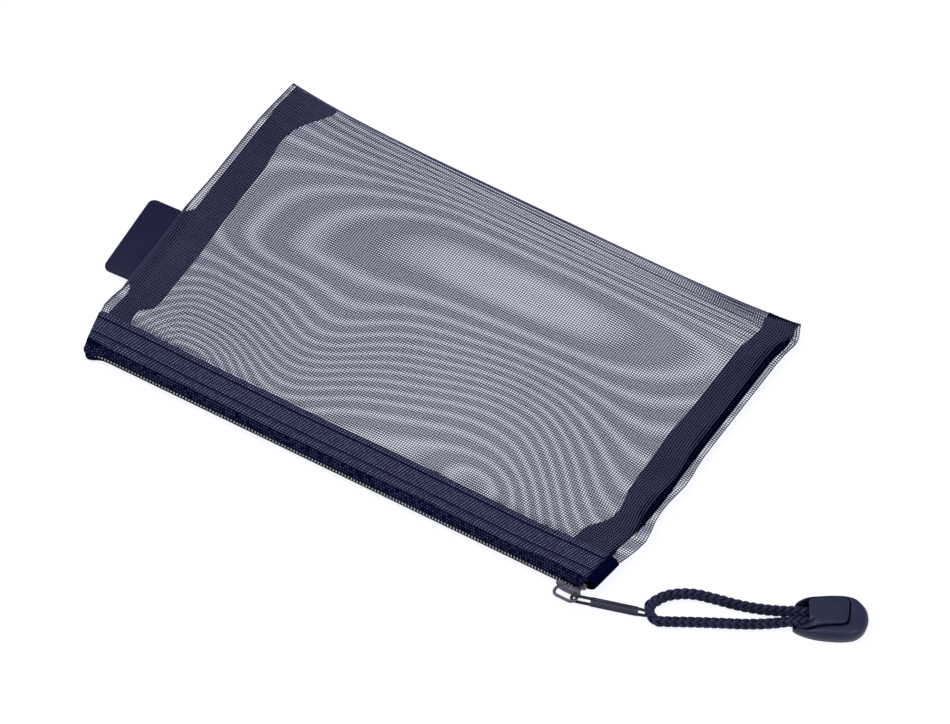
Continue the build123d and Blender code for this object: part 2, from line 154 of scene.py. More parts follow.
def calculate(tree, operation, first, second=0.0):
    """One Math node, as its output."""
    return add_node(tree, "ShaderNodeMath", {0: first, 1: second}, operation=operation).outputs[0]


def from_srgb(red, green, blue):
    """Colour as painted, from 0 to 255 on a screen."""
    shares = [value / 255 for value in (red, green, blue)]
    linear = [s / 12.92 if s <= 0.04045 else ((s + 0.055) / 1.055) ** 2.4 for s in shares]
    return (*linear, 1.0)


print(f"middle grey is {from_srgb(128, 128, 128)[0]:.2f} in linear light")

# %% White floor
FLOOR_HALF = 3.0
FLOOR_DROP = 0.00005
FLOOR_GLOW = 0.87
FLOOR_TINT = (0.985, 0.995, 1.06, 1)
FLOOR_PAINT = (0.82, 0.82, 0.82, 1)
FLOOR_SHADOW = (0.2, 0.2, 0.2, 1)

floor_material = bpy.data.materials.new("white_sweep")
floor_material.use_nodes = True
tree = floor_material.node_tree
tree.nodes.clear()
path = add_node(tree, "ShaderNodeLightPath")
seen = calculate(tree, "ADD", path.outputs["Is Camera Ray"], path.outputs["Is Glossy Ray"])
glow = add_node(tree, "ShaderNodeEmission", {"Color": FLOOR_TINT, "Strength": FLOOR_GLOW})
paint = add_node(tree, "ShaderNodeBsdfDiffuse", {"Color": FLOOR_PAINT})
faint = add_node(tree, "ShaderNodeBsdfDiffuse", {"Color": FLOOR_SHADOW})
both = add_node(tree, "ShaderNodeAddShader", {0: glow.outputs[0], 1: faint.outputs[0]})
mix = add_node(tree, "ShaderNodeMixShader", {0: seen, 1: paint.outputs[0], 2: both.outputs[0]})
add_node(tree, "ShaderNodeOutputMaterial", {"Surface": mix.outputs[0]})

floor_mesh = bpy.data.meshes.new("floor")
corners = [(-1, -1), (1, -1), (1, 1), (-1, 1)]
floor_points = [(x * FLOOR_HALF, y * FLOOR_HALF, -FLOOR_DROP) for x, y in corners]
floor_mesh.from_pydata(floor_points, [], [(0, 1, 2, 3)])
floor_mesh.materials.append(floor_material)
floor = add_object("floor", floor_mesh)
print("floor", 2 * FLOOR_HALF, "m wide")

# %% [markdown]
# ## Finishes
# Most of the wallet is woven, and every weave is a grid of little crowns where one thread passes over
# another. One node group draws that grid from a UV map in millimetres: two pitches and a slant turn it
# into ribbed tape, twill or zip tape. A second group is fine grain for rubber, plastic, paint and
# thread, and a third paints shade as dark lines where a tape is sewn or folded, where the zip tape lies
# under the edge of the band, and where a tape turns down at its right end. Each material mixes two
# tones with a group's tone and feeds its height to a Bump node. Pictures of cloth would do too, but
# formulas stay sharp at any distance.

# %% Woven crowns as a node group


def group_with(name, inputs, outputs):
    """Empty node group with float sockets, plus a vector input."""
    tree = bpy.data.node_groups.new(name, "ShaderNodeTree")
    tree.interface.new_socket("Vector", in_out="INPUT", socket_type="NodeSocketVector")
    for socket, value in inputs.items():
        made = tree.interface.new_socket(socket, in_out="INPUT", socket_type="NodeSocketFloat")
        made.default_value = value
    for socket in outputs:
        tree.interface.new_socket(socket, in_out="OUTPUT", socket_type="NodeSocketFloat")
    return tree, tree.nodes.new("NodeGroupInput").outputs, tree.nodes.new("NodeGroupOutput")


def half_waves(tree, value):
    """Row of half waves, one from each whole number to the next."""
    return calculate(tree, "ABSOLUTE", calculate(tree, "SINE", calculate(tree, "MULTIPLY", value, math.pi)))


CROWN_SHADE = 0.25
CROWN_SHINE = 0.8
MIDDLE_TONE = 0.85

weave_inputs = {"Warp": 0.6, "Weft": 0.6, "Slant": 0.5, "Uneven": 0.5}
tree, given, result = group_with("woven_crowns", weave_inputs, ("Height", "Tone"))
place = add_node(tree, "ShaderNodeSeparateXYZ", {0: given["Vector"]})
across = calculate(tree, "DIVIDE", place.outputs["Y"], given["Weft"])
row = calculate(tree, "FLOOR", across)
along = calculate(tree, "DIVIDE", place.outputs["X"], given["Warp"])
along = calculate(tree, "ADD", along, calculate(tree, "MULTIPLY", row, given["Slant"]))
crown = calculate(tree, "MULTIPLY", half_waves(tree, along), half_waves(tree, across))
cell = add_node(tree, "ShaderNodeCombineXYZ", {"X": calculate(tree, "FLOOR", along), "Y": row})
chance = add_node(tree, "ShaderNodeTexWhiteNoise", {"Vector": cell.outputs[0]}, noise_dimensions="3D")
shine = add_node(
    tree, "ShaderNodeMapRange", {"Value": crown, "From Min": CROWN_SHADE, "From Max": CROWN_SHINE}
)
chance = calculate(tree, "SUBTRACT", chance.outputs["Value"], 0.5)
tone = calculate(tree, "ADD", calculate(tree, "MULTIPLY", chance, given["Uneven"]), MIDDLE_TONE)
tree.links.new(crown, result.inputs["Height"])
tree.links.new(calculate(tree, "MULTIPLY", shine.outputs[0], tone), result.inputs["Tone"])
woven_crowns = tree
print("group", woven_crowns.name)

# %% Fine grain as a node group
tree, given, result = group_with("fine_grain", {"Scale": 900.0}, ("Height", "Tone"))
grains = []
for share, detail in ((1.0, 3.0), (0.12, 2.0)):
    scale = calculate(tree, "MULTIPLY", given["Scale"], share)
    noise = {"Vector": given["Vector"], "Scale": scale, "Detail": detail}
    grains.append(add_node(tree, "ShaderNodeTexNoise", noise).outputs["Fac"])
fine, coarse = grains
tree.links.new(fine, result.inputs["Height"])
tone = calculate(tree, "MULTIPLY", fine, calculate(tree, "MULTIPLY", coarse, 2.0))
tree.links.new(tone, result.inputs["Tone"])
fine_grain = tree
print("group", fine_grain.name)

# %% Lines of painted shade as a node group
line_inputs = {"First": 2.5, "Second": 8.2, "Width": 0.5, "End": 200.0}
tree, given, result = group_with("dark_lines", line_inputs, ("Mask",))
place = add_node(tree, "ShaderNodeSeparateXYZ", {0: given["Vector"]})
# Each line is a stripe of painted shade, as in a stitch groove or a fold. Past End, where a tape turns down
# at its right end, the tape is painted in shade all over.
lines = []
for socket in ("First", "Second"):
    away = calculate(tree, "ABSOLUTE", calculate(tree, "SUBTRACT", place.outputs["Y"], given[socket]))
    lines.append(calculate(tree, "SUBTRACT", 1.0, calculate(tree, "DIVIDE", away, given["Width"])))
past_end = calculate(tree, "SUBTRACT", place.outputs["X"], given["End"])
mask = calculate(tree, "MAXIMUM", calculate(tree, "MAXIMUM", lines[0], lines[1]), past_end)
mask = add_node(tree, "ShaderNodeClamp", {"Value": mask})
tree.links.new(mask.outputs[0], result.inputs["Mask"])
dark_lines = tree
print("group", dark_lines.name)

# %% Materials from the groups
WOVEN_DEPTH = 0.3 * MM
GRAIN_DEPTH = 0.1 * MM


def place_group(tree, group, vector, values):
    """A node group in a material, with its own values."""
    return add_node(tree, "ShaderNodeGroup", {"Vector": vector, **values}, node_tree=group).outputs


def finish(name, dark, light, bump, roughness, shine=0.0, scale=None, weave=None, lines=None):
    """Principled material: a group's tone mixes two colours, and its height makes the relief."""
    material = bpy.data.materials.new(name)
    material.use_nodes = True
    tree = material.node_tree
    principled = tree.nodes["Principled BSDF"]
    texture = add_node(tree, "ShaderNodeTexCoord").outputs
    if weave:
        pattern = place_group(tree, woven_crowns, texture["UV"], weave)
        # Painted shade along the group's lines darkens the tone and flattens the relief there.
        mask = place_group(tree, dark_lines, texture["UV"], lines)["Mask"]
        keep = calculate(tree, "SUBTRACT", 1.0, mask)
        tone = calculate(tree, "MULTIPLY", pattern["Tone"], keep)
        height = calculate(tree, "MULTIPLY", pattern["Height"], keep)
        depth = WOVEN_DEPTH
    else:
        pattern = place_group(tree, fine_grain, texture["Object"], {"Scale": scale})
        tone, height = pattern["Tone"], pattern["Height"]
        depth = GRAIN_DEPTH
    tones = {"Factor": tone, "A": from_srgb(*dark), "B": from_srgb(*light)}
    colour = add_node(tree, "ShaderNodeMix", tones, data_type="RGBA")
    tree.links.new(colour.outputs["Result"], principled.inputs["Base Color"])
    relief = add_node(tree, "ShaderNodeBump", {"Height": height, "Strength": bump, "Distance": depth})
    tree.links.new(relief.outputs["Normal"], principled.inputs["Normal"])
    principled.inputs["Roughness"].default_value = roughness
    principled.inputs["Specular IOR Level"].default_value = shine
    return material


def strand_shade(material, edge):
    """Darken a strand of yarn towards its edges: UV.y goes once round it, and its crest is outside."""
    tree = material.node_tree
    mix = next(node for node in tree.nodes if node.bl_idname == "ShaderNodeMix")
    texture = add_node(tree, "ShaderNodeTexCoord").outputs
    place = add_node(tree, "ShaderNodeSeparateXYZ", {0: texture["UV"]})
    crest = calculate(tree, "SINE", calculate(tree, "MULTIPLY", place.outputs["Y"], 2 * math.pi))
    share = add_node(tree, "ShaderNodeMapRange", {"Value": crest, "From Min": edge})
    tone = mix.inputs["Factor"].links[0].from_socket
    tree.links.new(calculate(tree, "MULTIPLY", tone, share.outputs[0]), mix.inputs["Factor"])


print(f"relief {GRAIN_DEPTH / MM:.1f} mm deep on grain, {WOVEN_DEPTH / MM:.1f} mm on cloth")

# %% Tones, grains and weaves
# Dark tone, light tone, relief, roughness, shine and scale of the grain.
GRAINED = {
    "net_thread": ((60, 63, 94), (84, 87, 120), 0.2, 0.6, 0.2, 500.0),
    "sewing_thread": ((2, 4, 28), (14, 17, 46), 0.5, 0.7, 0.0, 1500.0),
    "coil_nylon": ((2, 3, 16), (10, 12, 32), 0.1, 0.25, 0.15, 400.0),
    # painted highlight on the front crests of the coil's lower loops
    "painted_glint_nylon": ((195, 195, 208), (245, 245, 250), 0.1, 0.3, 0.5, 400.0),
    "tab_rubber": ((20, 21, 50), (30, 31, 62), 0.25, 0.5, 0.15, 1400.0),
    "wire_paint": ((20, 20, 42), (44, 43, 70), 0.2, 0.36, 0.25, 700.0),
    "bright_paint": ((58, 57, 76), (104, 102, 126), 0.2, 0.4, 0.4, 700.0),
    "cord_yarn": ((1, 2, 16), (50, 52, 88), 0.5, 0.55, 0.15, 1500.0),
    "end_plastic": ((25, 29, 54), (38, 43, 70), 0.25, 0.42, 0.3, 1600.0),
}
# Dark tone, light tone, relief and roughness, then the weave and its lines of painted shade.
WOVEN = {
    "binding_twill": (
        (0, 2, 20), (20, 23, 50), 0.6, 0.85,
        {"Warp": 1.1, "Weft": 0.95, "Slant": 0.5}, {"First": 7.6, "Second": 9.8, "Width": 0.7},
    ),
    "band_ribs": (
        (4, 8, 36), (104, 107, 138), 0.6, 0.85, {"Warp": 0.995, "Weft": 0.7, "Slant": 0.2},
        {"First": 2.5, "Second": 8.2, "Width": 0.75, "End": 86.6},
    ),
    "zip_weave": (
        (1, 4, 30), (52, 56, 90), 0.7, 0.9, {"Warp": 0.95, "Weft": 0.8, "Slant": 0.5, "Uneven": 1.6},
        {"First": -5.2, "Second": -5.9, "Width": 1.6, "End": 87.0},
    ),
}
YARN_EDGE = -0.3

finishes = {}
for name, (dark, light, bump, roughness, shine, scale) in GRAINED.items():
    finishes[name] = finish(name, dark, light, bump, roughness, shine=shine, scale=scale)
for name, (dark, light, bump, roughness, weave, lines) in WOVEN.items():
    finishes[name] = finish(name, dark, light, bump, roughness, weave=weave, lines=lines)
strand_shade(finishes["cord_yarn"], YARN_EDGE)
print("finishes:", ", ".join(finishes))

# %% [markdown]
# ## Small tools for cloth, thread and moulded forms
# Four helpers make nearly every piece. One turns points and faces into an object. One lays round or
# flat tubes along many lines at once, which serves for threads, stitches, the coil and the cord. One
# makes a closed strip of cloth from a formula for its upper face, with a UV map in millimetres. One
# stacks rings of points into a closed form, as a potter stacks coils, for rubber, metal and plastic.

# %% Points and faces to an object
SHARP = math.radians(50)


def make_piece(name, points, faces, uv, material, sharp=False):
    """Smooth mesh object from points in millimetres, with one UV place for each corner of each face."""
    mesh = bpy.data.meshes.new(name)
    mesh.from_pydata((np.asarray(points, float) * MM).tolist(), [], faces)
    layer = mesh.uv_layers.new(name="millimetres")
    layer.data.foreach_set("uv", np.asarray(uv, float).ravel())
    work = bmesh.new()
    work.from_mesh(mesh)
    bmesh.ops.recalc_face_normals(work, faces=work.faces)
    work.to_mesh(mesh)
    work.free()
    mesh.materials.append(finishes[material])
    mesh.shade_smooth()
    if sharp:
        mesh.set_sharp_from_angle(angle=SHARP)
    return add_object(name, mesh)


def settle(piece, node, body="wallet", side=None):
    """A piece in place of a solid, which is hidden, rides on a body or, on a side of the mouth, has its
    placing baked into its points.
    """
    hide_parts(node)
    if side:
        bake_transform(piece)
    else:
        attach(piece, body)
    print(piece.name, len(piece.data.polygons), "faces")


def bundle(*values):
    """Values side by side in a last axis, such as the x, y and z of points."""
    return np.stack(values, axis=-1)


def whole_turn(count):
    """Angles of so many points round a circle."""
    return np.arange(count) * 2 * math.pi / count


def unit(vectors):
    """Vectors scaled to length one."""
    return vectors / np.maximum(np.linalg.norm(vectors, axis=-1, keepdims=True), 1e-12)


def ease(t):
    """Smooth step from 0 to 1."""
    t = np.clip(t, 0.0, 1.0)
    return t * t * (3 - 2 * t)


def hill(x, centre, width):
    """Smooth bump of height one."""
    return np.exp(-(((x - centre) / width) ** 2))


def merged(parts):
    """One set of points, faces and UV from several."""
    points, faces, uv = [], [], []
    for part_points, part_faces, part_uv in parts:
        shift = sum(len(p) for p in points)
        points.append(part_points)
        faces += [[corner + shift for corner in face] for face in part_faces]
        uv.append(part_uv)
    return np.concatenate(points), faces, np.concatenate(uv)


print("edges of more than", round(math.degrees(SHARP)), "degrees may stay sharp")

# %% Tubes along many lines
CAP_PLACE = 0.25


def ring_faces(count, layers, sides):
    """Faces of closed forms, each a stack of rings of points with a cap at both ends."""
    start = (np.arange(count)[:, None, None] * layers + np.arange(layers - 1)[None, :, None]) * sides
    first = start + np.arange(sides)
    second = start + (np.arange(sides) + 1) % sides
    quads = bundle(first, second, second + sides, first + sides).reshape(-1, 4)
    ends = np.arange(count)[:, None] * layers * sides + np.array([0, (layers - 1) * sides])
    caps = ends.reshape(-1, 1) + np.arange(sides)
    return quads.tolist() + caps.tolist()


def tubes(lines, radius, sides, reference=(0, 0, 1), flat=1.0, sideways=None):
    """Closed tubes along lines (lines, points, 3). UV is the length in millimetres and the share round."""
    lines = np.asarray(lines, float)
    count, steps, _ = lines.shape
    tangent = unit(np.gradient(lines, axis=1))
    if sideways is None:
        sideways = unit(np.cross(tangent, np.asarray(reference, float)))
    upward = unit(np.cross(sideways, tangent))
    radius = np.broadcast_to(np.asarray(radius, float), (count, steps))[..., None, None]
    turn = whole_turn(sides)
    ring = np.cos(turn)[:, None] * sideways[:, :, None] + flat * np.sin(turn)[:, None] * upward[:, :, None]
    points = (lines[:, :, None] + radius * ring).reshape(-1, 3)
    length = np.cumsum(np.linalg.norm(np.diff(lines, axis=1, prepend=lines[:, :1]), axis=2), axis=1)
    u = bundle(length[:, :-1], length[:, :-1], length[:, 1:], length[:, 1:])[:, :, None]
    round_share = np.arange(sides) / sides
    v = bundle(round_share, round_share + 1 / sides, round_share + 1 / sides, round_share)
    uv = bundle(*np.broadcast_arrays(u, v[None, None])).reshape(-1, 2)
    cap_uv = np.full((2 * count * sides, 2), CAP_PLACE)
    return points, ring_faces(count, steps, sides), np.concatenate([uv, cap_uv])


def tube_piece(name, lines, radius, sides, material, **options):
    """Object made of tubes along lines."""
    return make_piece(name, *tubes(lines, radius, sides, **options), material)


print("a straight thread has", len(ring_faces(1, 2, 4)), "faces")

# %% Closed strips of cloth
EDGE_TUCK = 0.3


def cloth_strip(name, surface, along, across, thickness, material):
    """Closed strip whose upper face is surface(u, v), with u and v in millimetres of cloth."""
    u, v = np.meshgrid(along, across, indexing="ij")
    top = surface(u, v)
    normal = unit(np.cross(np.gradient(top, axis=0), np.gradient(top, axis=1)))
    edge = np.minimum(np.arange(len(across)), np.arange(len(across))[::-1])
    inset = np.where(edge == 0, EDGE_TUCK, 0.0)[None, :, None] * thickness
    upper = top - inset * normal
    under = top - (thickness - inset) * normal
    rows, cols = u.shape
    grid = np.arange(rows * cols).reshape(rows, cols)
    quads = bundle(grid[:-1, :-1], grid[1:, :-1], grid[1:, 1:], grid[:-1, 1:]).reshape(-1, 4)
    rim = np.concatenate([grid[:, 0], grid[-1, 1:], grid[-2::-1, -1], grid[0, -2:0:-1]])
    after = np.roll(rim, -1)
    below = rows * cols
    sides = bundle(rim, after, after + below, rim + below)
    faces = np.concatenate([quads, quads[:, ::-1] + below, sides])
    points = np.concatenate([upper.reshape(-1, 3), under.reshape(-1, 3)])
    uv = np.tile(bundle(u.ravel(), v.ravel()), (2, 1))[faces.ravel()]
    return make_piece(name, points, faces.tolist(), uv, material, sharp=True)


def edged(width, margin, count):
    """Places across a strip, with one near each edge."""
    return np.concatenate([[0], np.linspace(margin, width - margin, count), [width]])


def box_mm(node):
    """Lowest and highest corner of a solid, in millimetres."""
    low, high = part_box(node)
    return np.array(low) / MM, np.array(high) / MM


print("places across a strip 4 mm wide:", edged(4, 0.5, 3))

# %% Stacked rings


def smooth_loop(corners, steps):
    """Closed smooth line through given corners, which may carry more values than a place."""
    here = np.asarray(corners, float)
    before, after, beyond = np.roll(here, 1, axis=0), np.roll(here, -1, axis=0), np.roll(here, -2, axis=0)
    t = (np.arange(steps) / steps)[:, None, None]
    bend = 2 * before - 5 * here + 4 * after - beyond
    twist = 3 * here - before - 3 * after + beyond
    line = 0.5 * (2 * here + (after - before) * t + bend * t**2 + twist * t**3)
    return line.transpose(1, 0, 2).reshape(-1, here.shape[1])


def ring_stack(rings):
    """Points, faces and UV of a closed form through a stack of rings (rings, points, 3)."""
    rings = np.asarray(rings, float)
    faces = ring_faces(1, *rings.shape[:2])
    return rings.reshape(-1, 3), faces, np.zeros((sum(len(face) for face in faces), 2))


print("three corners give a smooth loop of", len(smooth_loop([(0, 0), (1, 0), (0, 1)], 6)), "points")

# %% [markdown]
# ## Braided pull cord
# The cord is a limp plaited loop that runs from the moulded end through the eye of the link and back.
# Its line is one smooth NURBS spline through listed control points. A bevel along it would give a
# plain tube. Instead eight flat strands wind round it, four each way, and each rises over one neighbour
# and dips under the next, which gives the row of small arrowheads that a plaited cord shows.

# %% Route of the cord
EYE = Vector((0.107911, -0.055813, 0.00195))
EYE_RUN = 0.0027
EYE_CROSSING = math.radians(-40)
END_MOUTH = Vector((0.1445, -0.0348, 0))
END_TURN = Matrix.Rotation(math.radians(27), 3, "Z")
HELD = 0.008
STRAND = 0.00175
HELD_Z = 0.0027


def in_end(x, y, z):
    """Point given from the mouth of the cord end."""
    return END_MOUTH + END_TURN @ Vector((x, y, z))


crossing = EYE_RUN * Vector((math.cos(EYE_CROSSING), math.sin(EYE_CROSSING), 0))
cord_route = [
    in_end(HELD, STRAND, HELD_Z),
    in_end(0, STRAND, HELD_Z),
    (0.1396, -0.0352, 0.0023),
    (0.1340, -0.0374, 0.0019),
    (0.1280, -0.0393, 0.00178),
    (0.1210, -0.0408, 0.00178),
    (0.1140, -0.0426, 0.00178),
    (0.1086, -0.0466, 0.00178),
    (0.1066, -0.0504, 0.00185),
    EYE - crossing,
    EYE + crossing,
    (0.1134, -0.0556, 0.00178),
    (0.1195, -0.0520, 0.00178),
    (0.1270, -0.0478, 0.00178),
    (0.1345, -0.0439, 0.0019),
    (0.1409, -0.0399, 0.0023),
    in_end(0, -STRAND, HELD_Z),
    in_end(HELD, -STRAND, HELD_Z),
]
cord_curve = bpy.data.curves.new("cord_line", "CURVE")
cord_curve.dimensions = "3D"
spline = cord_curve.splines.new("NURBS")
spline.points.add(len(cord_route) - 1)
for control, place in zip(spline.points, cord_route):
    control.co = (*place, 1.0)
spline.order_u = 3
spline.use_endpoint_u = True
spline.resolution_u = 36
cord_line = add_object("cord_line", cord_curve)
line_mesh = bpy.data.meshes.new_from_object(cord_line)
cord_path = np.array([vertex.co for vertex in line_mesh.vertices])
bpy.data.objects.remove(cord_line)
cord_run = np.concatenate([[0], np.cumsum(np.linalg.norm(np.diff(cord_path, axis=0), axis=1))])
print(f"cord {cord_run[-1] * 1000:.1f} mm along {len(cord_path)} points")

# %% Plait of eight strands
STRANDS_EACH_WAY = 4
PLAIT_LENGTH = 9.2
PLAIT_RADIUS = 1.13
PLAIT_WAVE = 0.3
STRAND_HALF_WIDTH = 0.76
STRAND_FLATNESS = 0.5
FACE_TURN = math.radians(51)
SQUEEZE = 0.2
SQUEEZE_RUN = 2.0

path_mm = cord_path / MM
run_mm = cord_run / MM
ahead = unit(np.gradient(path_mm, axis=0))
level = unit(np.cross(ahead, (0, 0, 1)))
raised = np.cross(level, ahead)
eye_run = run_mm[np.argmin(np.linalg.norm(cord_path - np.array(EYE), axis=1))]
slack = 1 - SQUEEZE * hill(run_mm, eye_run, SQUEEZE_RUN)
strands = []
outward = []
for way in (1, -1):
    for strand in range(STRANDS_EACH_WAY):
        turn = way * 2 * math.pi * run_mm / PLAIT_LENGTH + 2 * math.pi * strand / STRANDS_EACH_WAY
        lift = PLAIT_RADIUS + way * PLAIT_WAVE * np.sin(2 * (turn - FACE_TURN))
        out_dir = np.cos(turn)[:, None] * level + np.sin(turn)[:, None] * raised
        strands.append(path_mm + (lift * slack)[:, None] * out_dir)
        outward.append(out_dir)
strands = np.array(strands)
sideways = unit(np.cross(unit(np.gradient(strands, axis=1)), np.array(outward)))
pull_cord = tube_piece(
    "pull_cord_braid", strands, STRAND_HALF_WIDTH * slack, 8, "cord_yarn",
    flat=STRAND_FLATNESS, sideways=sideways,
)
settle(pull_cord, "pull_cord", body="pull_cord")

# %% [markdown]
# ## Cord end
# Both ends of the cord go into a moulded end: a rounded tray with a snapped-in lid. The lid is flush with
# the far wall, a groove runs round it, and in front of it the tray slopes down to its near lip. A box with
# bevels can't follow a wall that changes height all the way, so a table gives it. Each row is one corner of
# the tray as seen from above, given from the mouth: a point of the outline, the point of the recess beside
# it, and the height of the wall there. Rings go up the outside, over the wall and down into the recess,
# where the cord lies.

# %% Tray with its recess
TRAY_CORNERS = [
    (0.3, 4.7, 0.7, 3.9, 3.2),
    (3.4, 5.9, 3.6, 5.2, 4.9),
    (7.6, 6.7, 7.6, 5.7, 5.2),
    (11.8, 7.2, 12.0, 6.0, 5.3),
    (15.6, 7.2, 15.7, 5.9, 5.3),
    (18.9, 6.3, 16.7, 5.0, 5.1),
    (21.3, 3.8, 16.9, 2.5, 4.9),
    (22.3, 0.2, 16.9, 0.5, 4.8),
    (21.4, -3.6, 16.8, -1.5, 4.8),
    (18.9, -6.2, 16.2, -3.2, 4.8),
    (15.2, -7.2, 13.5, -3.8, 4.7),
    (11.0, -7.3, 10.5, -4.1, 4.6),
    (7.0, -7.0, 7.2, -4.7, 4.3),
    (3.6, -6.2, 4.4, -5.4, 3.6),
    (0.6, -4.9, 1.2, -4.4, 2.7),
    (0.0, -3.6, 0.6, -3.3, 0.95),
    (-0.1, 0.0, 0.5, 0.0, 0.9),
    (0.0, 3.3, 0.6, 3.1, 0.95),
]
TRAY_MIDDLE = np.array([11.0, 0.0])
TRAY_STEPS = 6


def end_points(flat, height):
    """Points of the cord end from places given from its mouth."""
    place = np.column_stack([flat, np.broadcast_to(height, len(flat))])
    return place @ np.array(END_TURN).T + np.array(END_MOUTH) / MM


tray_line = smooth_loop(TRAY_CORNERS, TRAY_STEPS)
outer, recess, wall = tray_line[:, :2], tray_line[:, 2:4], tray_line[:, 4]
tray_rings = [end_points(outer + 0.1 * (TRAY_MIDDLE - outer), 0.0)]
tray_rings.append(end_points(outer + 0.03 * (TRAY_MIDDLE - outer), np.minimum(0.45, 0.5 * wall)))
for inward, rise in ((0.0, 0.45), (0.02, 0.72), (0.2, 0.93), (0.55, 1.0), (0.9, 0.99), (1.0, 0.94)):
    tray_rings.append(end_points(outer + inward * (recess - outer), rise * wall))
tray_rings.append(end_points(recess, 0.8))
tray = make_piece("cord_end_tray_moulded", *ring_stack(tray_rings), "end_plastic", sharp=True)
settle(tray, "cord_end_tray", body="pull_cord")

# %% Lid with its tongue
LID_CORNERS = [
    (4.5, 4.8, 5.4),
    (8.0, 5.35, 5.6),
    (12.0, 5.65, 5.7),
    (15.2, 5.6, 5.7),
    (16.3, 4.7, 5.6),
    (16.45, 2.2, 5.6),
    (16.4, -1.0, 5.6),
    (15.8, -2.8, 5.5),
    (14.0, -3.4, 5.5),
    (11.0, -3.75, 5.4),
    (8.0, -4.2, 5.2),
    (5.4, -4.75, 4.6),
    (3.2, -4.9, 3.7),
    (1.5, -4.3, 2.8),
    (1.6, -3.7, 2.9),
    (3.4, -3.4, 4.2),
    (4.8, -2.4, 5.2),
    (4.6, 1.5, 5.5),
]
LID_MIDDLE = np.array([8.0, -1.5, 5.5])
LID_T = 1.1

lid_line = smooth_loop(LID_CORNERS, TRAY_STEPS)
toward = LID_MIDDLE[:2] - lid_line[:, :2]
away = np.linalg.norm(toward, axis=1, keepdims=True)
lid_rings = []
for inset, drop in ((0.3, LID_T), (0.0, 0.85), (0.0, 0.35), (0.12, 0.1), (0.4, 0.0)):
    lid_rings.append(end_points(lid_line[:, :2] + inset * toward / away, lid_line[:, 2] - drop))
for share in (0.4, 0.7, 0.95):
    top = lid_line[:, 2] + ease(share) * (LID_MIDDLE[2] - lid_line[:, 2])
    lid_rings.append(end_points(lid_line[:, :2] + share * toward, top))
lid = make_piece("cord_end_lid_moulded", *ring_stack(lid_rings), "end_plastic", sharp=True)
settle(lid, "cord_end_lid", body="pull_cord")

# %% [markdown]
# ## Mesh panels
# One sheet of square net is folded at the far edge, so two layers of threads lie over each other.
# Their grids beat against each other, and that is what draws the rings on the wallet: where the
# threads of both layers line up it is bright, and where they fill each other's gaps it is dark. A flat
# texture can't do that from every side, so each thread is a thin tube. The upper layer is crowned, and
# the threads of the lower one are drawn a little along the floor, as slack cloth is.

# %% Outline and height of the panels
SIDE = 90.0
HEM_Y = -50.0
FAR_Y = 58.5
CROWN_Y = 14.0
HEM_Z = 5.0
CROWN_Z = 9.2
SEAM_Z = 3.15
ARCH_RISE = 7.0
THREAD_Z = 0.22
CREASE_Z = 1.4
SOFT_JOIN = 0.6


def side_reach(y, x):
    """Distance from the middle to the wavy side seam, on the side where x is."""
    right = 90.7 + 0.9 * hill(y, 51, 4) + 1.1 * hill(y, -9, 7) + 2.1 * hill(y, -34, 7)
    right = right - 2.2 * ease((y - 52) / 9) - 3 * ease((-44 - y) / 5)
    left = 89.7 - 1.4 * ease((y - 38) / 22) + 0.6 * hill(y, 4, 8)
    left = left + 1.4 * ease((-32 - y) / 9) - 3.2 * ease((-44 - y) / 5)
    return np.where(np.asarray(x) < 0, left, right)


def far_edge(x):
    """Far crease, drawn in a little between its corners."""
    return FAR_Y + 0.006 * x + np.where(x < 0, 2.3, 1.7) * np.abs(x / SIDE) ** 4


def crease_height(x):
    """Height of the far crease, which climbs to the seams at the corners."""
    return CREASE_Z + 1.5 * np.abs(x / SIDE) ** 6


def upper_height(x, y):
    """Height of the upper panel: a crown from band to crease under an arch from seam to seam."""
    fall = np.clip((y - CROWN_Y) / (far_edge(x) - CROWN_Y), 0, 1) ** 2.4
    crown = HEM_Z + (CROWN_Z - HEM_Z) * ease((y + 46) / (CROWN_Y + 46))
    crown = crown - (CROWN_Z - crease_height(x)) * fall
    arch = SEAM_Z + ARCH_RISE * (1 - (x / side_reach(y, x)) ** 2)
    height = -SOFT_JOIN * np.log(np.exp(-crown / SOFT_JOIN) + np.exp(-arch / SOFT_JOIN))
    tab_lift = ease((-84 - x) / 5) * ease((y + 34) / 4) * ease((4 - y) / 4)
    return height + 0.75 * tab_lift


def lower_height(x, y):
    """Height of the lower panel: on the floor, rising to the seams, the crease and the hem."""
    side = (SEAM_Z - 0.3 - THREAD_Z) * ease((np.abs(x) - side_reach(y, x) + 7) / 7)
    far = (crease_height(x) - 0.2 - THREAD_Z) * ease((y - far_edge(x) + 4) / 4)
    hem = 0.5 * ease((-43.5 - y) / 2)
    return THREAD_Z + np.maximum(np.maximum(side, far), hem)


print(f"crown {upper_height(0.0, CROWN_Y):.1f} mm, band side {upper_height(0.0, -45.0):.1f} mm")

# %% Rings where the two layers beat
SIGHT_X = -math.sin(AZIMUTH) / math.tan(ELEVATION)
SIGHT_Y = math.cos(AZIMUTH) / math.tan(ELEVATION)
SIGHT_Z = 3.0


